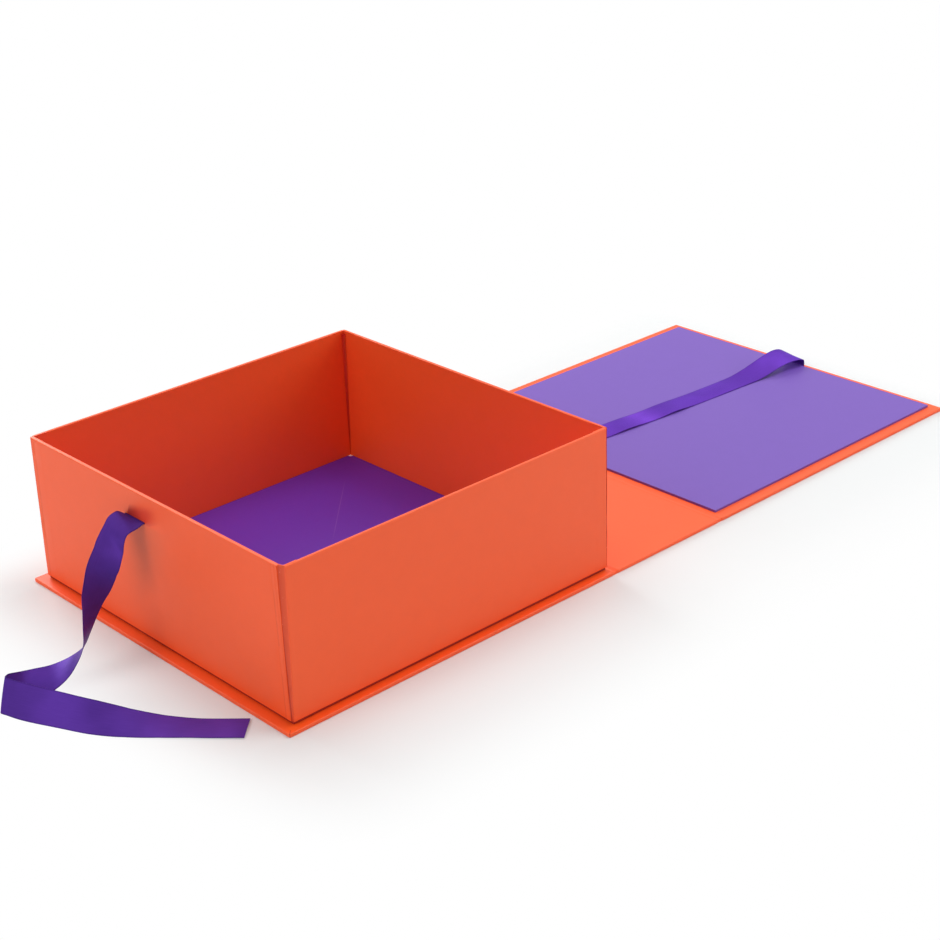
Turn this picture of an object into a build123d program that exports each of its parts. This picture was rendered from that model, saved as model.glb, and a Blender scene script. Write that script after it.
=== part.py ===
from build123d import *
import os

# Folding gift box: a wrapped-board tray standing on the base panel of a three-panel cover
# (base, spine, lid), a liner panel on the lid's inside and two satin tie ribbons.
# Millimetres, +Z up. The origin is on the underside of the base panel, under the middle of
# the tray. The front wall, the one with the ribbon slot, faces -Y. The box is open: spine
# and lid lie flat on the table behind it, towards +Y.

# Tray
tray_width = 220.0
tray_depth = 222.0
wall_height = 84.0
wall_board = 1.8
lining_paper = 0.3
rim_round = 0.6
bottom_board = 1.9
bottom_inset = 1.0
floor_card = 0.8
floor_clearance = 0.4

# Paper corners between the wall boards
corner_gap_top = 4.0
corner_gap_bottom = 2.0
corner_paper = 0.5
corner_recess = 0.25

# Cover
cover_board = 2.2
side_margin = 4.5
front_margin = 6.0
lid_overhang = 1.5
panel_corner = 1.0
panel_round = 0.6
fold_gap = 3.0
fold_lift = 0.2
fold_paper = 0.35
spine_clearance = 0.6
lid_clearance = 0.5

# Liner panel on the lid
liner_board = 1.5
liner_side_clearance = 0.8
liner_back_clearance = 0.8
liner_front_clearance = 2.0
liner_round = 0.3

# Ribbons
ribbon_width = 17.0
ribbon_thickness = 0.4
ribbon_seat = 0.45
ribbon_side_play = 0.5
ribbon_tail = 25.0
sharpest_mitre = 0.6
slot_offset = -12.0
slot_below_rim = 16.0
slot_opening = 1.4
lid_ribbon_offset = -3.0
lid_ribbon_reach = 205.0
lid_arch_height = 7.6
lid_arch_overhang = 1.2

# Magnets, a pair of discs in the front wall and a pair under the liner's front edge
magnet_diameter = 10.0
magnet_thickness = 1.0
magnet_play = 0.1
magnet_spacing = 120.0
wall_magnet_below_rim = 8.0
liner_magnet_inset = 9.0

# Levels and planes that follow from the sizes above
front_y = -tray_depth / 2
back_y = tray_depth / 2
wall_foot = cover_board + bottom_board
rim = wall_foot + wall_height
front_board = wall_board - lining_paper
fold_axis_height = cover_board - fold_gap / 2 + fold_lift
fold_depth = cover_board - fold_axis_height
spine_fold_y = back_y + spine_clearance + fold_depth
spine_span = rim + lid_clearance + cover_board - 2 * fold_axis_height
lid_fold_y = spine_fold_y + spine_span
lid_end_y = lid_fold_y + (spine_fold_y - front_y) + lid_overhang
panel_width = tray_width + 2 * side_margin
liner_start_y = lid_fold_y + (spine_fold_y - (back_y - wall_board)) + liner_back_clearance
liner_end_y = lid_fold_y + (spine_fold_y - (front_y + wall_board)) - liner_front_clearance
liner_width = tray_width - 2 * (wall_board + liner_side_clearance)
slot_height = rim - slot_below_rim
slot_length = ribbon_width + 2 * ribbon_side_play

os.makedirs("parts", exist_ok=True)


def cover_panel(start_y, end_y, fold_before, fold_after):
    """Wrapped board lying flat, with half of the fold's bare wrap paper along each folded edge."""
    mid_y = (start_y + end_y) / 2
    length = end_y - start_y
    with BuildPart() as panel:
        with BuildSketch() as outline:
            with Locations((0, mid_y)):
                Rectangle(panel_width, length)
            fillet(outline.vertices(), radius=panel_corner)
        extrude(amount=cover_board)
        fillet(panel.faces().sort_by(Axis.Z)[-1].edges(), radius=panel_round)
        underside = panel.faces().sort_by(Axis.Z)[0].edges()
        if fold_before:
            underside = underside.filter_by_position(Axis.Y, start_y + panel_corner / 2, end_y)
        if fold_after:
            underside = underside.filter_by_position(Axis.Y, start_y, end_y - panel_corner / 2)
        fillet(underside, radius=panel_round / 2)
        flap = fold_gap / 2 + panel_corner
        if fold_before:
            with BuildSketch():
                with Locations((0, start_y - fold_gap / 2 + flap / 2)):
                    Rectangle(panel_width - 2 * panel_corner, flap)
            extrude(amount=fold_paper)
        if fold_after:
            with BuildSketch():
                with Locations((0, end_y + fold_gap / 2 - flap / 2)):
                    Rectangle(panel_width - 2 * panel_corner, flap)
            extrude(amount=fold_paper)
    return panel


def wall(outer_plane, length, thickness, rounded_rims):
    """Standing sheet with slanted ends, drawn on its outer face and thickened inwards.

    rounded_rims is how many of its top edges are rounded, the outer one first.
    """
    half_foot = length / 2 - corner_gap_bottom
    half_rim = length / 2 - corner_gap_top
    with BuildPart() as board:
        with BuildSketch(outer_plane):
            with BuildLine():
                Polyline(
                    (-half_foot, 0),
                    (half_foot, 0),
                    (half_rim, wall_height),
                    (-half_rim, wall_height),
                    close=True,
                )
            make_face()
        extrude(amount=-thickness)
        top_edges = board.faces().sort_by(Axis.Z)[-1].edges().sort_by(SortBy.LENGTH)[-2:]
        outer_first = top_edges.sort_by(Axis(outer_plane.origin, -outer_plane.z_dir))
        if rounded_rims:
            fillet(outer_first[:rounded_rims], radius=rim_round)
    return board


def corner_strip(side_x, side_y):
    """Bare folded paper that bridges the two boards of one corner, wider at the rim."""
    fold_line = (
        side_x * (tray_width / 2 - corner_recess),
        side_y * (tray_depth / 2 - corner_recess),
        wall_foot,
    )
    along_front = Plane(origin=fold_line, x_dir=(-side_x, 0, 0), z_dir=(0, side_x, 0))
    along_side = Plane(origin=fold_line, x_dir=(0, -side_y, 0), z_dir=(-side_y, 0, 0))
    inwards = side_x * side_y * corner_paper
    with BuildPart() as strip:
        for leaf_plane, leaf_depth in ((along_front, -inwards), (along_side, inwards)):
            with BuildSketch(leaf_plane):
                with BuildLine():
                    Polyline(
                        (0, 0),
                        (corner_gap_bottom - corner_recess, 0),
                        (corner_gap_top - corner_recess, wall_height),
                        (0, wall_height),
                        close=True,
                    )
                make_face()
            extrude(amount=leaf_depth)
    return strip


def ribbon(edge_points, width_directions):
    """Thin strip through stations, each one edge point and the direction to the other edge."""
    widths = [Vector(*direction).normalized() for direction in width_directions]
    middles = [
        Vector(*point) + width * (ribbon_width / 2) for point, width in zip(edge_points, widths)
    ]
    runs = [(after - before).normalized() for before, after in zip(middles, middles[1:])]
    sections = []
    for index, (middle, width) in enumerate(zip(middles, widths)):
        before = runs[max(index - 1, 0)]
        after = runs[min(index, len(runs) - 1)]
        along = (before + after).normalized()
        along = (along - width * along.dot(width)).normalized()
        mitre = max(along.dot(after), sharpest_mitre)
        with BuildSketch(Plane(origin=middle, x_dir=width, z_dir=along)) as section:
            Rectangle(ribbon_width, ribbon_thickness / mitre)
        sections.append(section.sketch)
    with BuildPart() as strip:
        for near_section, far_section in zip(sections, sections[1:]):
            loft([near_section, far_section], ruled=True)
    return strip


# Base panel, under the whole tray, and the two panels behind it
base_panel = cover_panel(front_y - front_margin, spine_fold_y - fold_gap / 2, False, True)
base_panel.part.label = "base_panel"
export_step(base_panel.part, "parts/base_panel.step")

spine_panel = cover_panel(spine_fold_y + fold_gap / 2, lid_fold_y - fold_gap / 2, True, True)
spine_panel.part.label = "spine_panel"
export_step(spine_panel.part, "parts/spine_panel.step")

lid_panel = cover_panel(lid_fold_y + fold_gap / 2, lid_end_y, True, False)
lid_panel.part.label = "lid_panel"
export_step(lid_panel.part, "parts/lid_panel.step")

# Board on the base that carries the walls and holds their lower edges clear of it
with BuildPart() as tray_bottom:
    with BuildSketch(Plane.XY.offset(cover_board)):
        Rectangle(tray_width - 2 * bottom_inset, tray_depth - 2 * bottom_inset)
    extrude(amount=bottom_board)
tray_bottom.part.label = "tray_bottom"
export_step(tray_bottom.part, "parts/tray_bottom.step")

# Coloured card that lies inside the walls
with BuildPart() as tray_floor:
    with BuildSketch(Plane.XY.offset(wall_foot)):
        side_gap = wall_board + floor_clearance
        Rectangle(tray_width - 2 * side_gap, tray_depth - 2 * side_gap)
    extrude(amount=floor_card)
tray_floor.part.label = "tray_floor"
export_step(tray_floor.part, "parts/tray_floor.step")

# Walls. The front one is a thinner board whose lining hides the ribbon's tail and the magnets.
front_face = Plane(origin=(0, front_y, wall_foot), x_dir=(1, 0, 0), z_dir=(0, -1, 0))
back_face = Plane(origin=(0, back_y, wall_foot), x_dir=(-1, 0, 0), z_dir=(0, 1, 0))
left_face = Plane(origin=(-tray_width / 2, 0, wall_foot), x_dir=(0, -1, 0), z_dir=(-1, 0, 0))
right_face = Plane(origin=(tray_width / 2, 0, wall_foot), x_dir=(0, 1, 0), z_dir=(1, 0, 0))

front_wall_blank = wall(front_face, tray_width, front_board, 1)
slot_level = slot_height - wall_foot
magnet_level = wall_height - wall_magnet_below_rim
board_inside = front_face.offset(-front_board)
with BuildPart() as front_wall:
    add(front_wall_blank.part)
    with BuildSketch(front_face):
        with Locations((slot_offset, slot_level)):
            SlotOverall(slot_length, slot_opening)
    extrude(amount=-front_board, mode=Mode.SUBTRACT)
    with BuildSketch(board_inside):
        seat_length = ribbon_tail + slot_opening / 2
        with Locations((slot_offset, slot_level + slot_opening / 2 - seat_length / 2)):
            Rectangle(slot_length, seat_length)
    extrude(amount=ribbon_seat, mode=Mode.SUBTRACT)
    with BuildSketch(board_inside):
        with Locations((-magnet_spacing / 2, magnet_level), (magnet_spacing / 2, magnet_level)):
            Circle(magnet_diameter / 2 + magnet_play)
    extrude(amount=magnet_thickness, mode=Mode.SUBTRACT)
front_wall.part.label = "front_wall"
export_step(front_wall.part, "parts/front_wall.step")

front_lining = wall(board_inside, tray_width, lining_paper, 0)
front_lining.part.label = "front_wall_lining"
export_step(front_lining.part, "parts/front_wall_lining.step")

back_wall = wall(back_face, tray_width, wall_board, 2)
back_wall.part.label = "back_wall"
export_step(back_wall.part, "parts/back_wall.step")

left_wall = wall(left_face, tray_depth, wall_board, 2)
left_wall.part.label = "left_wall"
export_step(left_wall.part, "parts/left_wall.step")

right_wall = wall(right_face, tray_depth, wall_board, 2)
right_wall.part.label = "right_wall"
export_step(right_wall.part, "parts/right_wall.step")

# Corner strips
corner_sides = {
    "front_left_corner": (-1, -1),
    "front_right_corner": (1, -1),
    "back_left_corner": (-1, 1),
    "back_right_corner": (1, 1),
}
for corner_name, (side_x, side_y) in corner_sides.items():
    corner = corner_strip(side_x, side_y)
    corner.part.label = corner_name
    export_step(corner.part, f"parts/{corner_name}.step")

# Liner on the lid's inside. The ribbon's tail and the magnets sit in its underside.
with BuildPart() as lid_liner:
    with BuildSketch(Plane.XY.offset(cover_board)):
        with Locations((0, (liner_start_y + liner_end_y) / 2)):
            Rectangle(liner_width, liner_end_y - liner_start_y)
    extrude(amount=liner_board)
    fillet(lid_liner.faces().sort_by(Axis.Z)[-1].edges(), radius=liner_round)
    with BuildSketch(Plane.XY.offset(cover_board)):
        with Locations((lid_ribbon_offset, liner_end_y - ribbon_tail / 2)):
            Rectangle(slot_length, ribbon_tail)
    extrude(amount=ribbon_seat, mode=Mode.SUBTRACT)
    with BuildSketch(Plane.XY.offset(cover_board)):
        liner_magnet_y = liner_end_y - liner_magnet_inset
        with Locations((-magnet_spacing / 2, liner_magnet_y), (magnet_spacing / 2, liner_magnet_y)):
            Circle(magnet_diameter / 2 + magnet_play)
    extrude(amount=magnet_thickness, mode=Mode.SUBTRACT)
lid_liner.part.label = "lid_liner"
export_step(lid_liner.part, "parts/lid_liner.step")

# Magnets, in their pockets
with BuildPart() as wall_magnets:
    with BuildSketch(board_inside):
        with Locations((-magnet_spacing / 2, magnet_level), (magnet_spacing / 2, magnet_level)):
            Circle(magnet_diameter / 2)
    extrude(amount=magnet_thickness)
wall_magnets.part.label = "front_wall_magnets"
export_step(wall_magnets.part, "parts/front_wall_magnets.step")

with BuildPart() as lid_magnets:
    with BuildSketch(Plane.XY.offset(cover_board)):
        with Locations((-magnet_spacing / 2, liner_magnet_y), (magnet_spacing / 2, liner_magnet_y)):
            Circle(magnet_diameter / 2)
    extrude(amount=magnet_thickness)
lid_magnets.part.label = "lid_magnets"
export_step(lid_magnets.part, "parts/lid_magnets.step")

# Front ribbon: glued tail behind the wall, straight out through the slot, over a soft bend, down
# with half a twist, a sharp turn on its edge on the table, then a run that settles flat. The free
# part gives x from the wall's middle, y from its face and the height as a share of the slot's
# height, then the direction from that edge of the ribbon to the other one.
front_route = [
    ((-20.5, -5.5, 1.043), (16.5, -0.5, -5.0)),
    ((-20.0, -10.5, 1.026), (16.0, 0.0, -5.0)),
    ((-18.5, -14.0, 0.996), (16.0, 0.5, -5.5)),
    ((-17.0, -18.0, 0.958), (15.0, 3.0, -7.5)),
    ((-15.5, -21.5, 0.922), (14.0, 4.5, -9.0)),
    ((-14.0, -24.5, 0.882), (12.0, 6.0, -10.5)),
    ((-12.5, -28.5, 0.831), (8.0, 9.5, -11.0)),
    ((-12.0, -31.5, 0.763), (4.5, 13.0, -10.0)),
    ((-10.5, -34.5, 0.685), (1.0, 14.0, -10.0)),
    ((-8.0, -38.0, 0.605), (-3.0, 13.5, -10.0)),
    ((-4.0, -41.0, 0.519), (-7.0, 12.0, -9.5)),
    ((0.5, -44.5, 0.426), (-10.0, 10.0, -9.0)),
    ((4.5, -48.0, 0.326), (-13.0, 8.0, -8.0)),
    ((4.5, -53.5, 0.205), (-15.5, 6.0, -3.5)),
    ((2.0, -59.0, 0.104), (-16.5, 2.5, 1.5)),
    ((-0.5, -66.5, 0.042), (-15.5, 1.0, 7.0)),
    ((-4.0, -75.5, 0.011), (-12.0, 2.0, 11.0)),
    ((-5.5, -87.0, 0.007), (-7.0, 5.0, 15.0)),
    ((-6.0, -92.0, 0.007), (-5.5, 8.0, 15.0)),
    ((-0.5, -91.0, 0.007), (-5.5, 8.0, 15.0)),
    ((8.0, -88.5, 0.008), (-4.5, 9.0, 15.0)),
    ((25.5, -80.5, 0.008), (-4.0, 9.5, 14.0)),
    ((42.0, -72.5, 0.008), (-6.0, 11.0, 11.5)),
    ((56.5, -62.0, 0.008), (-10.5, 12.0, 6.0)),
    ((69.5, -50.0, 0.008), (-11.5, 12.0, 2.0)),
    ((82.0, -38.0, 0.008), (-11.5, 12.5, 0.0)),
    ((99.0, -21.5, 0.008), (-11.5, 12.5, 0.0)),
]
across = (1.0, 0.0, 0.0)
slot_edge_x = slot_offset - ribbon_width / 2
tail_y = front_y + front_board - ribbon_seat / 2
front_points = [
    (slot_edge_x, tail_y, slot_height - ribbon_tail + slot_opening),
    (slot_edge_x, tail_y, slot_height),
    (slot_edge_x, front_y, slot_height),
]
front_widths = [across, across, across]
for (edge_x, edge_y, height_share), direction in front_route:
    front_points.append((edge_x, front_y + edge_y, height_share * slot_height))
    front_widths.append(direction)
front_ribbon = ribbon(front_points, front_widths)
front_ribbon.part.label = "front_ribbon"
export_step(front_ribbon.part, "parts/front_ribbon.step")

# Lid ribbon: glued tail under the liner, up round the liner's front edge, over a low, banked arch
# and back along the liner. Middle line: sideways drift, distance from the liner's front edge,
# height over the lid's inner face and how much lower the ribbon's right edge lies than its left.
lid_route = [
    (0.0, lid_arch_overhang / 2, ribbon_seat / 2, 0.0),
    (0.0, lid_arch_overhang, liner_board * 0.8, 0.0),
    (0.0, lid_arch_overhang, liner_board + 0.3 * lid_arch_height, 0.0),
    (0.0, lid_arch_overhang / 2, liner_board + 0.55 * lid_arch_height, 0.5),
    (-0.2, -1.5, liner_board + 0.76 * lid_arch_height, 1.8),
    (-0.7, -6.0, liner_board + 0.95 * lid_arch_height, 3.5),
    (-1.5, -13.0, liner_board + lid_arch_height, 4.2),
    (-2.2, -20.0, liner_board + 0.87 * lid_arch_height, 3.7),
    (-3.0, -27.0, liner_board + 0.66 * lid_arch_height, 3.2),
    (-3.8, -34.0, liner_board + 0.42 * lid_arch_height, 2.8),
    (-4.7, -42.0, liner_board + 0.2 * lid_arch_height, 2.0),
    (-5.6, -51.0, liner_board + 0.07 * lid_arch_height, 0.4),
    (-6.6, -69.0, liner_board + ribbon_seat / 2, 0.0),
    (-8.7, -104.0, liner_board + ribbon_seat / 2, 0.0),
    (-11.0, -137.0, liner_board + ribbon_seat / 2, 0.0),
    (-14.8, -180.0, liner_board + ribbon_seat / 2, 0.0),
    (-17.5, -lid_ribbon_reach, liner_board + ribbon_seat / 2, 0.0),
]
lid_tail_y = liner_end_y - ribbon_tail + ribbon_side_play
lid_middles = [(lid_ribbon_offset, lid_tail_y, cover_board + ribbon_seat / 2)]
for drift, from_edge, height, _ in lid_route:
    lid_middles.append((lid_ribbon_offset + drift, liner_end_y + from_edge, cover_board + height))
lid_widths = [across]
for before, after, station in zip(lid_middles, lid_middles[1:], lid_route):
    run_x = after[0] - before[0]
    run_y = min(after[1] - before[1], -1.0)
    level = Vector(-run_y, run_x, 0.0).normalized()
    lid_widths.append(tuple((level - Vector(0.0, 0.0, station[3] / ribbon_width)).normalized()))
lid_points = [
    tuple(Vector(*middle) - Vector(*width) * (ribbon_width / 2))
    for middle, width in zip(lid_middles, lid_widths)
]
lid_ribbon = ribbon(lid_points, lid_widths)
lid_ribbon.part.label = "lid_ribbon"
export_step(lid_ribbon.part, "parts/lid_ribbon.step")
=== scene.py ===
from math import pi, radians, sqrt

import bmesh
import bpy
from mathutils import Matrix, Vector, noise


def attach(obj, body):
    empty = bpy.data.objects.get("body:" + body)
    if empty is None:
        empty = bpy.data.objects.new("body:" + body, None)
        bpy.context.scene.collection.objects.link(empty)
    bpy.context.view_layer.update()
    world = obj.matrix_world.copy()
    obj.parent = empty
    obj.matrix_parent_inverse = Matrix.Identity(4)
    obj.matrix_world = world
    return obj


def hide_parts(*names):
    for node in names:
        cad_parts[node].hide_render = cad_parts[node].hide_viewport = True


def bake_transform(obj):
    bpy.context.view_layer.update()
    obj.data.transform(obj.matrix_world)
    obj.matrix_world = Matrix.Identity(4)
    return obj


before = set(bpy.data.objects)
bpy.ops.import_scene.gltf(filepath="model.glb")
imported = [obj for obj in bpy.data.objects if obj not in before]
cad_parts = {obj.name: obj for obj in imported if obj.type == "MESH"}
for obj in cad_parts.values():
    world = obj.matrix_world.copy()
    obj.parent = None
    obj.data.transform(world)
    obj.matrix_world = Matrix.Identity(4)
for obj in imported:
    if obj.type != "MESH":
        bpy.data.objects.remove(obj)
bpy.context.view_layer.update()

# Folding gift box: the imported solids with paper, card and satin materials, the wrap paper of the
# two folds, the creased paper corners and the two ribbons. Pieces and patterns are given in
# millimetres in the CAD's frame, lamps and camera in metres.

MM = 0.001

# The tray: its outer half sizes, the heights of its walls' foot and rim, and the front board
HALF_WIDTH = 110.0
HALF_DEPTH = 111.0
WALL_FOOT = 4.1
RIM = 88.1
RIM_ROUND = 0.6
FRONT_BOARD = 1.5

# The cover's panels, with their two folds and the base panel's front edge, and the lid's liner
PANEL_TOP = 2.2
PANEL_HALF_WIDTH = 114.5
PANEL_FRONT = 117.0
FOLD_GAP = 3.0
SPINE_FOLD_Y = 112.9
LID_FOLD_Y = 201.9
LINER_BOARD = 1.5
LINER_END_Y = 422.0

# The ribbons, their seats and glued tails, the front one's slot and the lid one's arch
RIBBON_WIDTH = 17.0
RIBBON_SEAT = 0.45
RIBBON_SIDE_PLAY = 0.5
RIBBON_TAIL = 25.0
SLOT_X = -12.0
SLOT_HEIGHT = 72.1
SLOT_OPENING = 1.4
LID_RIBBON_X = -3.0
ARCH_HEIGHT = 7.6
ARCH_OVERHANG = 1.2


# Mesh helpers


def add_piece(name, vertices, faces, material, body=None, sharp_angle=32.0):
    """Mesh object from points in millimetres, shaded smooth except over its sharper edges."""
    mesh = bpy.data.meshes.new(name)
    mesh.from_pydata([Vector(v) * MM for v in vertices], [], faces)
    shell = bmesh.new()
    shell.from_mesh(mesh)
    bmesh.ops.recalc_face_normals(shell, faces=shell.faces)
    for face in shell.faces:
        face.smooth = True
    for edge in shell.edges:
        edge.smooth = edge.calc_face_angle(0.0) < radians(sharp_angle)
    shell.to_mesh(mesh)
    shell.free()
    mesh.materials.append(material)
    piece = bpy.data.objects.new(name, mesh)
    bpy.context.scene.collection.objects.link(piece)
    if body:
        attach(piece, body)
    return piece


def closed_skin(rows):
    """Points and faces of a closed skin over rings of points, one row after another.

    All rings have the same count. The end faces join a ring's first half to its second, read
    backwards.
    """
    count = len(rows[0])
    vertices = [point for row in rows for point in row]
    faces = []
    for row in range(len(rows) - 1):
        here, there = row * count, (row + 1) * count
        for i in range(count):
            j = (i + 1) % count
            faces.append((here + i, here + j, there + j, there + i))
    half = count // 2
    for first in (0, (len(rows) - 1) * count):
        last = first + count - 1
        for i in range(half - 1):
            faces.append((first + i, first + i + 1, last - 1 - i, last - i))
    return vertices, faces


def smoothstep(low, high, value):
    """0 at low and 1 at high, smooth in between; low may be the larger."""
    t = min(max((value - low) / (high - low), 0.0), 1.0)
    return t * t * (3 - 2 * t)


def at_share(pair, share):
    """Value this share of the way from the first to the second."""
    return pair[0] + (pair[1] - pair[0]) * share


def through(points, steps):
    """Points of a smooth curve through the given ones, steps to a span, by chord length."""
    chords = [max((b - a).length, 1e-6) for a, b in zip(points, points[1:])]
    slopes = [(b - a) / chord for a, b, chord in zip(points, points[1:], chords)]
    tangents = [slopes[0]]
    for before, after, short, long in zip(slopes, slopes[1:], chords, chords[1:]):
        tangents.append((before * long + after * short) / (short + long))
    tangents.append(slopes[-1])
    line = []
    for i, chord in enumerate(chords):
        # A long span next to a short one would swing wide, so its tangents are held back
        leaving = tangents[i] * min(chord, 2 * chords[max(i - 1, 0)])
        arriving = tangents[i + 1] * min(chord, 2 * chords[min(i + 1, len(chords) - 1)])
        for step in range(steps):
            t = step / steps
            line.append(
                points[i] * (2 * t**3 - 3 * t**2 + 1)
                + leaving * (t**3 - 2 * t**2 + t)
                + points[i + 1] * (3 * t**2 - 2 * t**3)
                + arriving * (t**3 - t**2)
            )
    line.append(points[-1])
    return line


# Materials


def add_node(tree, kind, inputs=None, **settings):
    """New node with its settings, and its inputs set or linked."""
    made = tree.nodes.new(kind)
    for key, value in settings.items():
        setattr(made, key, value)
    for key, value in (inputs or {}).items():
        if isinstance(value, bpy.types.NodeSocket):
            tree.links.new(value, made.inputs[key])
        else:
            made.inputs[key].default_value = value
    return made


def calc(tree, operation, a, b=0.0):
    return add_node(tree, "ShaderNodeMath", {0: a, 1: b}, operation=operation).outputs[0]


def product(tree, *factors):
    result = factors[0]
    for factor in factors[1:]:
        result = calc(tree, "MULTIPLY", result, factor)
    return result


def largest(tree, *values):
    result = values[0]
    for value in values[1:]:
        result = calc(tree, "MAXIMUM", result, value)
    return result


def less(tree, a, b, share=1.0):
    """a less b, or less this share of b."""
    return calc(tree, "SUBTRACT", a, b if share == 1.0 else calc(tree, "MULTIPLY", b, share))


def apart(tree, a, b):
    """How far apart two values are."""
    return calc(tree, "ABSOLUTE", less(tree, a, b))


def diagonal(tree, a, b):
    """Length of the diagonal over two sides."""
    return calc(tree, "SQRT", calc(tree, "ADD", calc(tree, "POWER", a, 2.0), calc(tree, "POWER", b, 2.0)))


def ramp(tree, value, low, high):
    """0 at low and 1 at high, smooth in between; low may be the larger."""
    made = add_node(
        tree,
        "ShaderNodeMapRange",
        {"Value": value, "From Min": low, "From Max": high},
        interpolation_type="SMOOTHSTEP",
    )
    return made.outputs["Result"]


def mix_colour(tree, factor, a, b, blend="MIX"):
    made = add_node(tree, "ShaderNodeMix", data_type="RGBA", blend_type=blend)
    for key, value in (("Factor_Float", factor), ("A_Color", a), ("B_Color", b)):
        socket = next(s for s in made.inputs if s.identifier == key)
        if isinstance(value, bpy.types.NodeSocket):
            tree.links.new(value, socket)
        else:
            socket.default_value = value
    return next(s for s in made.outputs if s.identifier == "Result_Color")


def noise_at(tree, place, size_mm, detail=2.0, rough=0.5):
    """Noise from 0 to 1 with features of about this size."""
    made = add_node(
        tree,
        "ShaderNodeTexNoise",
        {"Vector": place, "Scale": 1 / (size_mm * MM), "Detail": detail, "Roughness": rough},
    )
    return made.outputs["Fac"]


def tint(tree, amount, shade, factors):
    """The colour with its red, green and blue multiplied by these factors."""
    return mix_colour(tree, amount, shade, (*factors, 1.0), "MULTIPLY")


def object_place(tree):
    return add_node(tree, "ShaderNodeTexCoord").outputs["Object"]


def split(tree, place):
    """The x, y and z of a place, in millimetres."""
    parts = add_node(tree, "ShaderNodeSeparateXYZ", {"Vector": place})
    return [calc(tree, "MULTIPLY", parts.outputs[axis], 1 / MM) for axis in "XYZ"]


def bump(tree, height, strength, depth_mm, normal=None):
    """Normal of a relief of this depth, over another normal if one is given."""
    inputs = {"Height": height, "Strength": strength, "Distance": depth_mm * MM}
    if normal is not None:
        inputs["Normal"] = normal
    return add_node(tree, "ShaderNodeBump", inputs).outputs[0]


def new_material(name):
    material = bpy.data.materials.new(name)
    material.use_nodes = True
    tree = material.node_tree
    return material, tree, tree.nodes["Principled BSDF"]


def finish_surface(tree, shader, shade, pattern, smoothest, roughest):
    """Base colour, and a roughness that goes from smoothest to roughest with a pattern."""
    tree.links.new(shade, shader.inputs["Base Color"])
    rough = add_node(
        tree, "ShaderNodeMapRange", {"Value": pattern, "To Min": smoothest, "To Max": roughest}
    )
    tree.links.new(rough.outputs["Result"], shader.inputs["Roughness"])


def rgb(red, green, blue):
    """Linear colour from the 0 to 255 values that it shows as."""
    channels = []
    for value in (red, green, blue):
        s = value / 255
        channels.append(s / 12.92 if s <= 0.04045 else ((s + 0.055) / 1.055) ** 2.4)
    return (*channels, 1.0)


def scaled(colour, factor):
    return tuple(min(c * factor, 1.0) for c in colour[:3]) + (1.0,)


def paper(name, colour, mottle=0.012, details=()):
    """Coated wrap paper on board: faint mottling, fine fibres and the slow waves of glued paper.

    Each detail gets the tree, the place in metres and the colour so far, and returns a colour.
    """
    material, tree, shader = new_material(name)
    place = object_place(tree)
    waves = noise_at(tree, place, 45.0, detail=1.0)
    cloud = noise_at(tree, place, 9.0, detail=4.0, rough=0.6)
    fibre = noise_at(tree, place, 0.9, detail=4.0, rough=0.65)
    grain = noise_at(tree, place, 0.22, detail=2.0)
    tone = calc(tree, "ADD", product(tree, cloud, 0.6), product(tree, fibre, 0.4))
    tone = ramp(tree, tone, 0.3, 0.7)
    shade = mix_colour(tree, tone, scaled(colour, 1 - mottle), scaled(colour, 1 + mottle))
    for detail in details:
        shade = detail(tree, place, shade)
    finish_surface(tree, shader, shade, fibre, 0.42, 0.56)
    slow = bump(tree, waves, 0.5, 0.2)
    fine = calc(tree, "ADD", fibre, product(tree, grain, 0.5))
    tree.links.new(bump(tree, fine, 0.35, 0.04, slow), shader.inputs["Normal"])
    shader.inputs["IOR"].default_value = 1.5
    return material


def patch(tree, across, up, middle, radii, slant=0.0, full=0.0):
    """1 in the middle of an oval patch and 0 at its rim.

    slant leans its top to the right, and full is the share of its radii that is 1 throughout.
    """
    lean = product(tree, less(tree, up, middle[1]), slant)
    u = calc(tree, "DIVIDE", less(tree, less(tree, across, lean), middle[0]), radii[0])
    v = calc(tree, "DIVIDE", less(tree, up, middle[1]), radii[1])
    return ramp(tree, diagonal(tree, u, v), 1.0, full)


def slot_shading(tree, place, shade):
    """Painted shade of a dent round the ribbon's slot, with no change of shape, and painted shadow and
    reflection of the hanging ribbon below it.
    """
    x, y, z = split(tree, place)
    outer_face = ramp(tree, y, 1.0 - HALF_DEPTH, 0.2 - HALF_DEPTH)
    # Painted shade of the dent: its sides slant with the ribbon, and a painted shadow of the ribbon
    # darkens its left part
    top = ramp(tree, less(tree, z, x, 0.25), 84.0, 78.5)
    foot = product(tree, ramp(tree, z, 70.8, 72.2), ramp(tree, less(tree, z, x, 0.45), 70.8, 72.2))
    left_end = ramp(tree, less(tree, x, z, 0.4), -48.0, -47.1)
    right_end = ramp(tree, x, 11.5, -3.0)
    painted_dent_shade = product(tree, top, foot, left_end, right_end, outer_face)
    painted_ribbon_shadow = product(tree, ramp(tree, x, -3.0, -15.0), painted_dent_shade)
    shade = tint(tree, painted_dent_shade, shade, (0.8, 0.48, 0.45))
    shade = tint(tree, painted_ribbon_shadow, shade, (0.7, 0.5, 0.5))
    # Painted shadow and reflection of the hanging ribbon: a greyer patch below the slot
    painted_ribbon_shade_and_reflection = patch(tree, x, z, (-7.0, 58.0), (24.0, 40.0), slant=0.3)
    below_slot = ramp(tree, z, 73.5, 70.0)
    return tint(tree, product(tree, painted_ribbon_shade_and_reflection, below_slot, outer_face), shade, (0.83, 0.93, 1.0))


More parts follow.
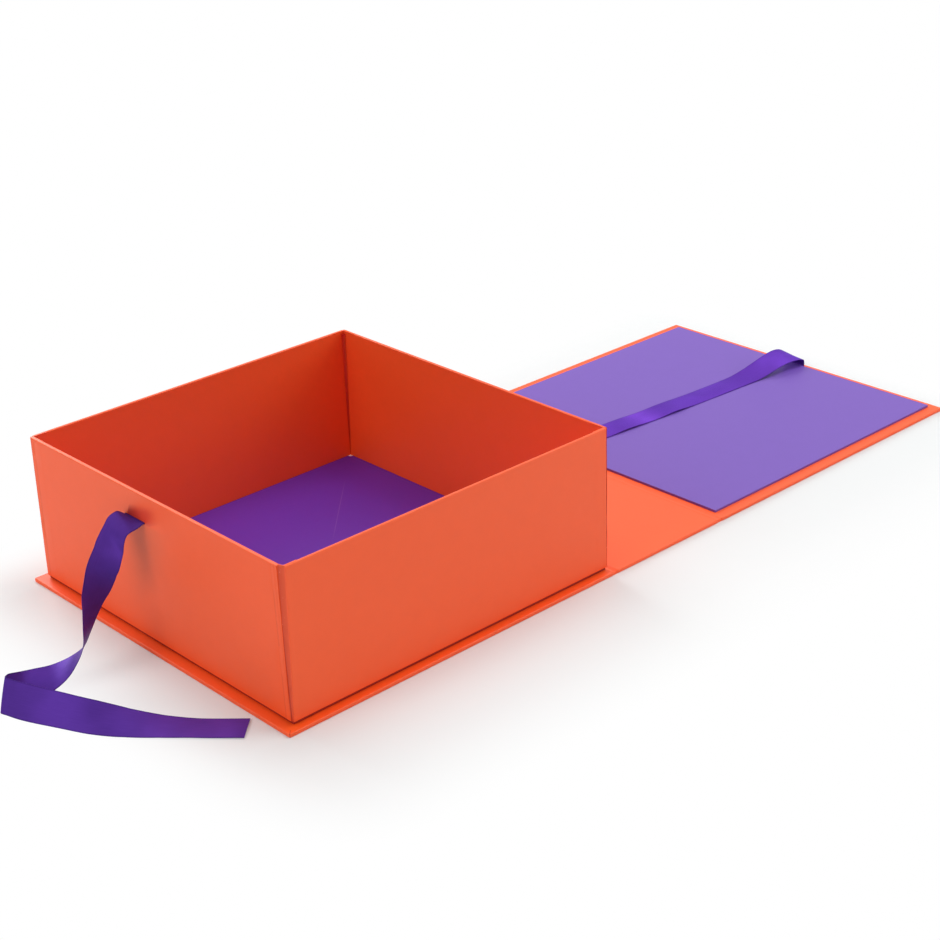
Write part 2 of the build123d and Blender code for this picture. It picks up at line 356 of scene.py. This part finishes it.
def lip_and_mitre(tree, place, shade):
    """Painted shade and orange bounce light from the walls on the lip beside them, and thin mitre lines
    at the base's front corners.
    """
    x, y, _ = split(tree, place)
    aside = calc(tree, "ABSOLUTE", x)
    ahead = product(tree, y, -1.0)
    past_wall = largest(tree, less(tree, aside, HALF_WIDTH), less(tree, ahead, HALF_DEPTH))
    # Painted shade and orange bounce light from the walls: a deeper orange on the lip beside them
    shade = tint(tree, ramp(tree, past_wall, 4.2, 2.6), shade, (1.0, 0.92, 0.35))
    from_side = less(tree, PANEL_HALF_WIDTH, aside)
    from_front = less(tree, PANEL_FRONT, ahead)
    line = ramp(tree, apart(tree, from_side, from_front), 0.45, 0.15)
    near_corner = ramp(tree, calc(tree, "ADD", from_side, from_front), 6.2, 4.5)
    return tint(tree, product(tree, line, near_corner, 0.8), shade, (0.6, 0.35, 0.3))


def floor_marks(tree, place, shade):
    """Faint diagonal crease across the floor card, and a painted white spot of light through the gap at
    its back corner.
    """
    x, y, _ = split(tree, place)
    off_line = apart(tree, calc(tree, "ADD", x, y), 0.6)
    ends = product(tree, ramp(tree, x, -20.0, -40.0), ramp(tree, x, -85.0, -65.0))
    crease = product(tree, ramp(tree, off_line, 0.6, 0.1), ends, 0.35)
    shade = mix_colour(tree, crease, shade, rgb(150, 110, 190))
    # Painted light: a white spot where light comes through the gap at the card's back corner
    painted_gap_light = patch(tree, x, y, (-107.0, 108.1), (1.5, 1.5), full=0.8)
    return mix_colour(tree, painted_gap_light, shade, rgb(255, 252, 245))


def creased(tree, place, shade):
    """Painted shade in the creases given by the mesh's crease attribute, over real grooves, with a few
    pale cracks along them.
    """
    crease_shade = add_node(tree, "ShaderNodeAttribute", attribute_name="crease").outputs["Fac"]
    cracks = noise_at(tree, place, 1.6, detail=3.0)
    pale = product(tree, ramp(tree, cracks, 0.64, 0.7), ramp(tree, crease_shade, 0.3, 0.6), 0.5)
    # Painted shade: the creases darkened as if shade falls in them
    shade = tint(tree, crease_shade, shade, (0.5, 0.2, 0.2))
    return mix_colour(tree, pale, shade, rgb(255, 150, 120))


def satin(name, colour, length_mm, gloss, highlight_at, highlight_reach):
    """Satin ribbon: warp threads along it, a woven edge and a soft gloss across the threads.

    Its painted highlight, a paler stretch, is placed by the last two arguments as shares of the ribbon's
    length.
    """
    thread = 0.32
    pick = 0.55
    streak_length = 9.0
    streaks_across = 60.0
    material, tree, shader = new_material(name)
    uv = add_node(tree, "ShaderNodeUVMap", uv_map="UVMap").outputs["UV"]
    parts = add_node(tree, "ShaderNodeSeparateXYZ", {"Vector": uv})
    across, along = parts.outputs["X"], parts.outputs["Y"]
    stretched = add_node(
        tree,
        "ShaderNodeCombineXYZ",
        {
            "X": product(tree, across, streaks_across),
            "Y": product(tree, along, length_mm / streak_length),
        },
    )
    streaks = add_node(
        tree,
        "ShaderNodeTexNoise",
        {"Vector": stretched.outputs[0], "Scale": 1.0, "Detail": 3.0},
    ).outputs["Fac"]
    tone = ramp(tree, streaks, 0.3, 0.7)
    shade = mix_colour(tree, tone, scaled(colour, 0.95), scaled(colour, 1.05))
    patches = ramp(tree, noise_at(tree, object_place(tree), 26.0, detail=1.0), 0.35, 0.65)
    worn = mix_colour(tree, patches, (0.92, 0.92, 0.92, 1.0), (1.1, 1.1, 1.1, 1.0))
    shade = mix_colour(tree, 1.0, shade, worn, "MULTIPLY")
    # Painted highlight: a paler stretch along the ribbon
    pale = ramp(tree, apart(tree, along, highlight_at), highlight_reach, 0.0)
    shade = tint(tree, pale, shade, (1.5, 1.5, 1.4))
    woven_edge = ramp(tree, apart(tree, across, 0.5), 0.455, 0.475)
    shade = mix_colour(tree, product(tree, woven_edge, 0.5), shade, scaled(colour, 0.55))
    finish_surface(tree, shader, shade, streaks, 0.34, 0.42)
    threads = calc(tree, "SINE", product(tree, across, 2 * pi * RIBBON_WIDTH / thread))
    picks = calc(tree, "SINE", product(tree, along, 2 * pi * length_mm / pick))
    weave = calc(tree, "ADD", product(tree, threads, 0.5), product(tree, picks, 0.25))
    tree.links.new(bump(tree, weave, 0.35, 0.03), shader.inputs["Normal"])
    shader.inputs["Anisotropic"].default_value = 0.55
    shader.inputs["Metallic"].default_value = gloss
    shader.inputs["Specular IOR Level"].default_value = 0.04
    shader.inputs["Specular Tint"].default_value = (0.42, 0.24, 1.0, 1.0)
    return material


def magnet_steel(name):
    """Nickel-plated discs with a fine turned finish."""
    material, tree, shader = new_material(name)
    brushed = noise_at(tree, object_place(tree), 0.5, detail=4.0)
    shade = mix_colour(tree, brushed, rgb(150, 150, 154), rgb(205, 205, 208))
    finish_surface(tree, shader, shade, brushed, 0.2, 0.4)
    shader.inputs["Metallic"].default_value = 1.0
    return material


ORANGE = rgb(252, 91, 31)
GAP_SHADE_ORANGE = rgb(158, 38, 20)
# The liner and the floor card are one paper; the liner's paler colour is painted sheen
LINER_PURPLE_WITH_SHEEN = rgb(110, 74, 173)
FLOOR_PURPLE = rgb(99, 43, 176)
# The two ribbons are one satin; the front one's darker colour is painted shade
FRONT_RIBBON_SHADED_PURPLE = rgb(85, 50, 147)
LID_RIBBON_PURPLE = rgb(98, 56, 168)

wrap_paper = paper("wrap_paper", ORANGE)
liner_paper = paper("liner_paper", LINER_PURPLE_WITH_SHEEN)
floor_paper = paper("floor_paper", FLOOR_PURPLE, details=[floor_marks])
slotted_paper = paper("front_wall_paper", ORANGE, details=[slot_shading])
base_paper = paper("base_paper", ORANGE, details=[lip_and_mitre])
corner_paper = paper("corner_paper", ORANGE, details=[creased])
# Painted shade: the tray's bottom board, seen only in the gap under the walls, is darkened to stand for
# the shade there
gap_shade_paper = paper("gap_shade_paper", GAP_SHADE_ORANGE)

steel = magnet_steel("magnet_steel")
node_materials = {
    "base_panel": base_paper,
    "spine_panel": wrap_paper,
    "lid_panel": wrap_paper,
    "lid_liner": liner_paper,
    "tray_bottom": gap_shade_paper,
    "tray_floor": floor_paper,
    "front_wall": slotted_paper,
    "front_wall_lining": wrap_paper,
    "back_wall": wrap_paper,
    "left_wall": wrap_paper,
    "right_wall": wrap_paper,
    "front_left_corner": wrap_paper,
    "front_right_corner": wrap_paper,
    "back_left_corner": wrap_paper,
    "back_right_corner": wrap_paper,
    "front_wall_magnets": steel,
    "lid_magnets": steel,
}
for node_name, material in node_materials.items():
    for material_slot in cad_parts[node_name].material_slots:
        material_slot.material = material


# Wrap paper across the two folds


def fold_wrap(name, fold_y, groove):
    """Paper over the gap between two panels, which dips over it as deep as the groove."""
    reach = 2.7
    proud = 0.05
    half_length = PANEL_HALF_WIDTH * 0.997
    half_groove = FOLD_GAP * 0.62
    steps_across = 14
    steps_along = 60
    rows = []
    for i in range(steps_along + 1):
        x = half_length * (2 * i / steps_along - 1)
        near_end = smoothstep(PANEL_HALF_WIDTH - 4, PANEL_HALF_WIDTH, abs(x))
        uneven = noise.noise((x * 0.06, fold_y, 0.0)) * 0.25
        deepest = groove * (1 + uneven + near_end)
        top = []
        for j in range(steps_across + 1):
            y = reach * (2 * j / steps_across - 1)
            dip = deepest * max(0.0, 1 - (y / half_groove) ** 2) ** 1.5
            top.append((x, fold_y + y, PANEL_TOP + proud - dip))
        bottom = [(x, point[1], -proud) for point in reversed(top)]
        rows.append(top + bottom)
    vertices, faces = closed_skin(rows)
    wrap = add_piece(name, vertices, faces, wrap_paper)
    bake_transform(wrap)


fold_wrap("spine_fold_wrap", SPINE_FOLD_Y, 0.55)
fold_wrap("lid_fold_wrap", LID_FOLD_Y, 0.16)


# Paper corners between the wall boards


def corner_outline(z, side_x, side_y, crease, arris, edge):
    """Outer line of a corner's paper at one height, from the front or back face round to the side.

    Each point says how far in from the side it is and how far in from the front or back, the way
    to the inside of the paper along both, and how much painted shade its crease gets.
    """
    proud = 0.06
    face_reach = 11.0
    side_reach = 10.0
    share = (z - WALL_FOOT) / (RIM - WALL_FOOT)
    waver = noise.noise((z * 0.07, side_x * 3.0, side_y * 5.0))
    rough = noise.noise((z * 0.35, side_x * 7.0, side_y * 2.0))
    over_round = min(max(0.0, z - (RIM - RIM_ROUND)), RIM_ROUND)
    out = RIM_ROUND - sqrt(RIM_ROUND**2 - over_round**2) - proud
    arris_u = at_share(arris, share) + 0.12 * waver + 0.05 * rough
    crease_u = arris_u + at_share(crease, share) - 0.1 * waver
    edge_v = at_share(edge, share)
    below_rim = smoothstep(RIM - 0.2, RIM - 1.6, z)
    # The crease is deepest near the rim and about 36 mm up
    pressed = max(smoothstep(70, 75, z), 0.9 * smoothstep(11, 5, abs(z - 36)), 0.3)
    pressed *= (0.75 + 0.5 * rough) * below_rim
    arris_depth = (0.34 + 0.2 * smoothstep(60, 40, z) + 0.15 * waver) * below_rim
    arris_shade = (0.75 + 0.25 * smoothstep(58, 48, z) + 0.25 * rough) * below_rim
    outline = [
        (face_reach, out + 0.04, 0.0, 1.0, 0.0),
        (crease_u + 0.7, out, 0.0, 1.0, 0.0),
        (crease_u + 0.2, out + 0.2 * pressed, 0.0, 1.0, pressed),
        (crease_u - 0.2, out + 0.3 * pressed, 0.0, 1.0, pressed),
        (crease_u - 0.7, out, 0.0, 1.0, 0.0),
        (arris_u + 0.9, out, 0.0, 1.0, 0.0),
        (arris_u + 0.3, out + 0.02, 0.1, 1.0, 0.1),
        (arris_u - 0.08, out + 0.12 + arris_depth, 0.4, 0.9, arris_shade),
        (arris_u - 0.5, out + 0.22 + 0.3 * arris_depth, 0.5, 0.9, arris_shade),
    ]
    for t in (0.3, 0.55, 0.8):
        sag = 0.5 * t * (1 - t)
        u = arris_u * (1 - t) + out * t + sag
        v = out * (1 - t) + edge_v * t + sag
        outline.append((u, v, 0.7, 0.7, 0.7 - 0.4 * t))
    return outline + [
        (out + 0.08, edge_v - 0.15, 0.9, 0.4, 0.0),
        (out, edge_v + 0.2, 1.0, 0.0, 0.0),
        (out, edge_v + 1.2, 1.0, 0.0, 0.0),
        (out + 0.04, side_reach, 1.0, 0.0, 0.0),
    ]


def corner_skin(node_name, side_x, side_y, crease, arris, edge):
    """Creased wrap paper round one corner of the tray.

    crease, arris and edge are each (at the foot, at the rim): the crease's distance from the
    arris, and how far in from the corner the arris and the side leaf's edge lie.
    """
    thickness = 0.4
    board_inside = 1.86
    steps = 56
    straight = RIM - RIM_ROUND - WALL_FOOT
    heights = [WALL_FOOT + straight * i / steps for i in range(steps + 1)]
    heights += [RIM - 0.35, RIM - 0.15, RIM - 0.04, RIM + 0.03]
    rows, crease_shades = [], []
    for z in heights:
        outline = corner_outline(z, side_x, side_y, crease, arris, edge)
        ring = [(point[0], point[1]) for point in outline]
        # The paper is thin, but at the rim its inside meets in a point, level with the boards'
        at_rim = smoothstep(RIM - 4.0, RIM - 1.5, z)
        for u, v, in_u, in_v, _ in reversed(outline):
            thin = (u + in_u * thickness, v + in_v * thickness)
            full = (max(u + 0.3, board_inside), max(v + 0.3, board_inside))
            ring.append([at_share(pair, at_rim) for pair in zip(thin, full)])
        rows.append([(side_x * (HALF_WIDTH - u), side_y * (HALF_DEPTH - v), z) for u, v in ring])
        crease_shades += [min(max(point[4], 0.0), 1.0) for point in outline] + [0.0] * len(outline)
    vertices, faces = closed_skin(rows)
    skin = add_piece(node_name + "_paper", vertices, faces, corner_paper, "tray", sharp_angle=24.0)
    # The crease attribute holds each point's painted crease shade
    crease_shade = skin.data.attributes.new("crease", "FLOAT", "POINT")
    crease_shade.data.foreach_set("value", crease_shades)
    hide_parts(node_name)


corner_skin("front_right_corner", 1, -1, crease=(3.7, 2.3), arris=(1.5, 5.6), edge=(0.9, 2.6))
corner_skin("front_left_corner", -1, -1, crease=(3.6, 3.2), arris=(0.5, 1.6), edge=(0.8, 2.4))
corner_skin("back_left_corner", -1, 1, crease=(3.8, 3.0), arris=(0.5, 1.4), edge=(0.8, 2.2))
corner_skin("back_right_corner", 1, 1, crease=(3.6, 3.4), arris=(0.5, 1.2), edge=(0.8, 2.0))


# Ribbons


def ribbon(name, middles, widths, material, body, node_name):
    """Satin strip along a middle line; widths go from one edge to the other at each station."""
    half_thickness = 0.15
    bow = 0.2
    steps = 7
    lanes = 8
    line = through(middles, steps)
    turns = through(widths, steps)
    lengths = [0.0]
    for before, after in zip(line, line[1:]):
        lengths.append(lengths[-1] + (after - before).length)
    rows = []
    for i, (middle, width) in enumerate(zip(line, turns)):
        run = line[min(i + 1, len(line) - 1)] - line[max(i - 1, 0)]
        normal = run.cross(width).normalized()
        upper, lower = [], []
        for lane in range(lanes + 1):
            share = lane / lanes
            arch = bow * (1 - (2 * share - 1) ** 2)
            point = middle + width * (share - 0.5) + normal * arch
            upper.append(point + normal * half_thickness)
            lower.append(point - normal * half_thickness)
        rows.append(upper + lower[::-1])
    vertices, faces = closed_skin(rows)
    strip = add_piece(name, vertices, faces, material, sharp_angle=60.0)
    # The upper points of a ring count up over the lanes and the lower ones back down
    count = 2 * (lanes + 1)
    uv = strip.data.uv_layers.new(name="UVMap")
    for loop in strip.data.loops:
        row, place = divmod(loop.vertex_index, count)
        lane = place if place <= lanes else count - 1 - place
        uv.data[loop.index].uv = (lane / lanes, lengths[row] / lengths[-1])
    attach(strip, body)
    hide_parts(node_name)
    return strip


# A station just before each sharp turn keeps the smooth curve from swinging wide there
BEFORE_TURN = 1.0

# Front ribbon: x from the wall's middle, y from its face and height as a share of the slot's,
# for one edge, then the way from there to the other edge
front_route = [
    ((-20.5, -5.5, 1.043), (16.5, -0.5, -5.0)),
    ((-20.0, -10.5, 1.026), (16.0, 0.0, -5.0)),
    ((-18.5, -14.0, 0.996), (16.0, 0.5, -5.5)),
    ((-17.0, -18.0, 0.958), (15.0, 3.0, -7.5)),
    ((-15.5, -21.5, 0.922), (14.0, 4.5, -9.0)),
    ((-14.0, -24.5, 0.882), (12.0, 6.0, -10.5)),
    ((-12.5, -28.5, 0.831), (8.0, 9.5, -11.0)),
    ((-12.0, -31.5, 0.763), (4.5, 13.0, -10.0)),
    ((-10.5, -34.5, 0.685), (1.0, 14.0, -10.0)),
    ((-8.0, -38.0, 0.605), (-3.0, 13.5, -10.0)),
    ((-4.0, -41.0, 0.519), (-7.0, 12.0, -9.5)),
    ((0.5, -44.5, 0.426), (-10.0, 10.0, -9.0)),
    ((4.5, -48.0, 0.326), (-13.0, 8.0, -8.0)),
    ((4.5, -53.5, 0.205), (-15.5, 6.0, -3.5)),
    ((2.0, -59.0, 0.104), (-16.5, 2.5, 1.5)),
    ((-0.5, -66.5, 0.042), (-15.5, 1.0, 7.0)),
    ((-4.0, -75.5, 0.011), (-12.0, 2.0, 11.0)),
    ((-5.5, -87.0, 0.007), (-7.0, 5.0, 15.0)),
    ((-6.0, -92.0, 0.007), (-5.5, 8.0, 15.0)),
    ((-0.5, -91.0, 0.007), (-5.5, 8.0, 15.0)),
    ((8.0, -88.5, 0.008), (-4.5, 9.0, 15.0)),
    ((25.5, -80.5, 0.008), (-4.0, 9.5, 14.0)),
    ((42.0, -72.5, 0.008), (-6.0, 11.0, 11.5)),
    ((56.5, -62.0, 0.008), (-10.5, 12.0, 6.0)),
    ((69.5, -50.0, 0.008), (-11.5, 12.0, 2.0)),
    ((82.0, -38.0, 0.008), (-11.5, 12.5, 0.0)),
    ((99.0, -21.5, 0.008), (-11.5, 12.5, 0.0)),
]
front_ribbon_length = 278.0
across = Vector((RIBBON_WIDTH, 0.0, 0.0))
slot_edge_x = SLOT_X - RIBBON_WIDTH / 2
tail_y = FRONT_BOARD - RIBBON_SEAT / 2 - HALF_DEPTH
front_edges = [
    Vector((slot_edge_x, tail_y, SLOT_HEIGHT - RIBBON_TAIL + SLOT_OPENING)),
    Vector((slot_edge_x, tail_y, SLOT_HEIGHT - BEFORE_TURN)),
    Vector((slot_edge_x, tail_y, SLOT_HEIGHT)),
    Vector((slot_edge_x, -HALF_DEPTH, SLOT_HEIGHT)),
]
front_widths = [across] * len(front_edges)
for (edge_x, edge_y, height_share), direction in front_route:
    front_edges.append(Vector((edge_x, edge_y - HALF_DEPTH, height_share * SLOT_HEIGHT)))
    front_widths.append(Vector(direction))
front_middles = [edge + width / 2 for edge, width in zip(front_edges, front_widths)]
front_satin = satin(
    "front_satin",
    FRONT_RIBBON_SHADED_PURPLE,
    front_ribbon_length,
    gloss=0.15,
    highlight_at=0.93,
    highlight_reach=0.17,
)
front_ribbon = ribbon(
    "front_ribbon_satin", front_middles, front_widths, front_satin, "tray", "front_ribbon"
)

# Lid ribbon: sideways drift, distance past the liner's front edge (towards the tray it is less
# than 0), height over the lid's face and how much lower its right edge lies than its left
lid_route = [
    (0.0, ARCH_OVERHANG / 2, RIBBON_SEAT / 2, 0.0),
    (0.0, ARCH_OVERHANG, LINER_BOARD * 0.8, 0.0),
    (0.0, ARCH_OVERHANG, LINER_BOARD + 0.3 * ARCH_HEIGHT, 0.0),
    (0.0, ARCH_OVERHANG / 2, LINER_BOARD + 0.55 * ARCH_HEIGHT, 0.5),
    (-0.2, -1.5, LINER_BOARD + 0.76 * ARCH_HEIGHT, 1.8),
    (-0.7, -6.0, LINER_BOARD + 0.95 * ARCH_HEIGHT, 3.5),
    (-1.5, -13.0, LINER_BOARD + ARCH_HEIGHT, 4.2),
    (-2.2, -20.0, LINER_BOARD + 0.87 * ARCH_HEIGHT, 3.7),
    (-3.0, -27.0, LINER_BOARD + 0.66 * ARCH_HEIGHT, 3.2),
    (-3.8, -34.0, LINER_BOARD + 0.42 * ARCH_HEIGHT, 2.8),
    (-4.7, -42.0, LINER_BOARD + 0.2 * ARCH_HEIGHT, 2.0),
    (-5.6, -51.0, LINER_BOARD + 0.07 * ARCH_HEIGHT, 0.4),
    (-6.6, -69.0, LINER_BOARD + RIBBON_SEAT / 2, 0.0),
    (-8.7, -104.0, LINER_BOARD + RIBBON_SEAT / 2, 0.0),
    (-9.9, -121.0, LINER_BOARD + 0.8, -0.4),
    (-11.0, -137.0, LINER_BOARD + RIBBON_SEAT / 2, 0.0),
    (-13.4, -163.0, LINER_BOARD + 0.7, -0.4),
    (-14.8, -180.0, LINER_BOARD + RIBBON_SEAT / 2, 0.0),
    (-17.5, -205.0, LINER_BOARD + RIBBON_SEAT / 2, 0.0),
]
lid_ribbon_length = 239.0
seat_z = PANEL_TOP + RIBBON_SEAT / 2
lid_middles = [
    Vector((LID_RIBBON_X, LINER_END_Y - RIBBON_TAIL + RIBBON_SIDE_PLAY, seat_z)),
    Vector((LID_RIBBON_X, LINER_END_Y - BEFORE_TURN, seat_z)),
]
for drift, from_edge, height, _ in lid_route:
    lid_middles.append(Vector((LID_RIBBON_X + drift, LINER_END_Y + from_edge, PANEL_TOP + height)))
lid_widths = [across, across]
for before, after, station in zip(lid_middles[1:], lid_middles[2:], lid_route):
    run_x = after.x - before.x
    run_y = min(after.y - before.y, -1.0)
    level = Vector((-run_y, run_x, 0.0)).normalized() * RIBBON_WIDTH
    lid_widths.append((level - Vector((0.0, 0.0, station[3]))).normalized() * RIBBON_WIDTH)
lid_satin = satin(
    "lid_satin", LID_RIBBON_PURPLE, lid_ribbon_length, gloss=0.35, highlight_at=0.74, highlight_reach=0.07
)
lid_ribbon = ribbon("lid_ribbon_satin", lid_middles, lid_widths, lid_satin, "lid", "lid_ribbon")


# Floor, lights and camera


def seen_directly(tree):
    """1 where the camera sees it, mirrored or through glass too, and 0 where it only gives light."""
    path = add_node(tree, "ShaderNodeLightPath")
    rays = ("Is Camera Ray", "Is Glossy Ray", "Is Transmission Ray")
    return largest(tree, *[path.outputs[ray] for ray in rays])


def mix_surfaces(tree, factor, a, b, output):
    both = add_node(tree, "ShaderNodeMixShader", {0: factor, 1: a.outputs[0], 2: b.outputs[0]})
    tree.links.new(both.outputs[0], output.inputs["Surface"])


def studio_floor():
    """Pale floor that keeps the object's shadow near it and is plain white further away."""
    half = 6.0
    just_under = -0.0001
    side, front, back = 115.0, -117.0, 427.0
    mesh = bpy.data.meshes.new("floor")
    corners = [(-half, -half, 0), (half, -half, 0), (half, half, 0), (-half, half, 0)]
    mesh.from_pydata(corners, [], [(0, 1, 2, 3)])
    floor = bpy.data.objects.new("floor", mesh)
    floor.location.z = just_under
    bpy.context.scene.collection.objects.link(floor)
    material = bpy.data.materials.new("studio_floor")
    material.use_nodes = True
    tree = material.node_tree
    tree.nodes.clear()
    output = tree.nodes.new("ShaderNodeOutputMaterial")
    x, y, _ = split(tree, object_place(tree))
    # How far past each side of the object; it counts for more where the shadow ends sooner
    past_right = less(tree, x, side)
    past_left = product(tree, less(tree, -side, x), 2.2)
    past_back = product(tree, less(tree, y, back), 4.0)
    past_front = product(tree, less(tree, front, y), 1.5)
    aside = largest(tree, past_right, past_left, 0.0)
    ahead = largest(tree, past_back, past_front, 0.0)
    away = ramp(tree, diagonal(tree, aside, ahead), -20.0, 105.0)
    seen = seen_directly(tree)
    pale = mix_colour(tree, seen, (0.93, 0.93, 0.93, 1.0), (0.77, 0.79, 0.79, 1.0))
    matte = add_node(tree, "ShaderNodeBsdfDiffuse", {"Color": pale})
    white = add_node(tree, "ShaderNodeEmission", {"Color": (1, 1, 1, 1), "Strength": 1.0})
    mix_surfaces(tree, product(tree, away, seen), matte, white, output)
    mesh.materials.append(material)


def studio_world(level):
    """Even white surroundings at this level, plain white where they are seen."""
    world = bpy.data.worlds.new("studio")
    bpy.context.scene.world = world
    world.use_nodes = True
    tree = world.node_tree
    tree.nodes.clear()
    output = tree.nodes.new("ShaderNodeOutputWorld")
    light = add_node(tree, "ShaderNodeBackground", {"Color": (1, 1, 1, 1), "Strength": level})
    white = add_node(tree, "ShaderNodeBackground", {"Color": (1, 1, 1, 1), "Strength": 1.0})
    mix_surfaces(tree, seen_directly(tree), light, white, output)


def area_lamp(name, place, size, power):
    """Square softbox of this size that points at the box."""
    box_middle = Vector((0.0, 0.1, 0.04))
    lamp = bpy.data.lights.new(name, "AREA")
    lamp.shape = "SQUARE"
    lamp.size = size
    lamp.energy = power
    holder = bpy.data.objects.new(name, lamp)
    holder.location = place
    holder.rotation_euler = (box_middle - Vector(place)).to_track_quat("-Z", "Y").to_euler()
    bpy.context.scene.collection.objects.link(holder)


studio_floor()
studio_world(0.27)
area_lamp("overhead_softbox", (0.0, 0.1, 2.4), size=2.0, power=13.5)
area_lamp("back_softbox", (0.3, 1.4, 2.0), size=1.6, power=20.5)
area_lamp("front_softbox", (0.0, -2.0, 1.2), size=1.2, power=13.5)
area_lamp("left_softbox", (-2.0, 0.2, 1.0), size=1.2, power=35.0)
area_lamp("right_softbox", (1.6, 1.6, 0.9), size=1.0, power=11.0)

# The camera is fitted to the box's corners in the photo
camera_data = bpy.data.cameras.new("camera")
camera_data.sensor_width = 36.0
camera_data.lens = 72.42
camera_data.clip_start = 0.01
camera_data.clip_end = 50.0
camera = bpy.data.objects.new("camera", camera_data)
camera.location = (0.74015, -0.57145, 0.49548)
camera.rotation_euler = (radians(65.076), radians(1.565), radians(46.593))
bpy.context.scene.collection.objects.link(camera)
bpy.context.scene.camera = camera
bpy.context.scene.view_settings.view_transform = "Standard"
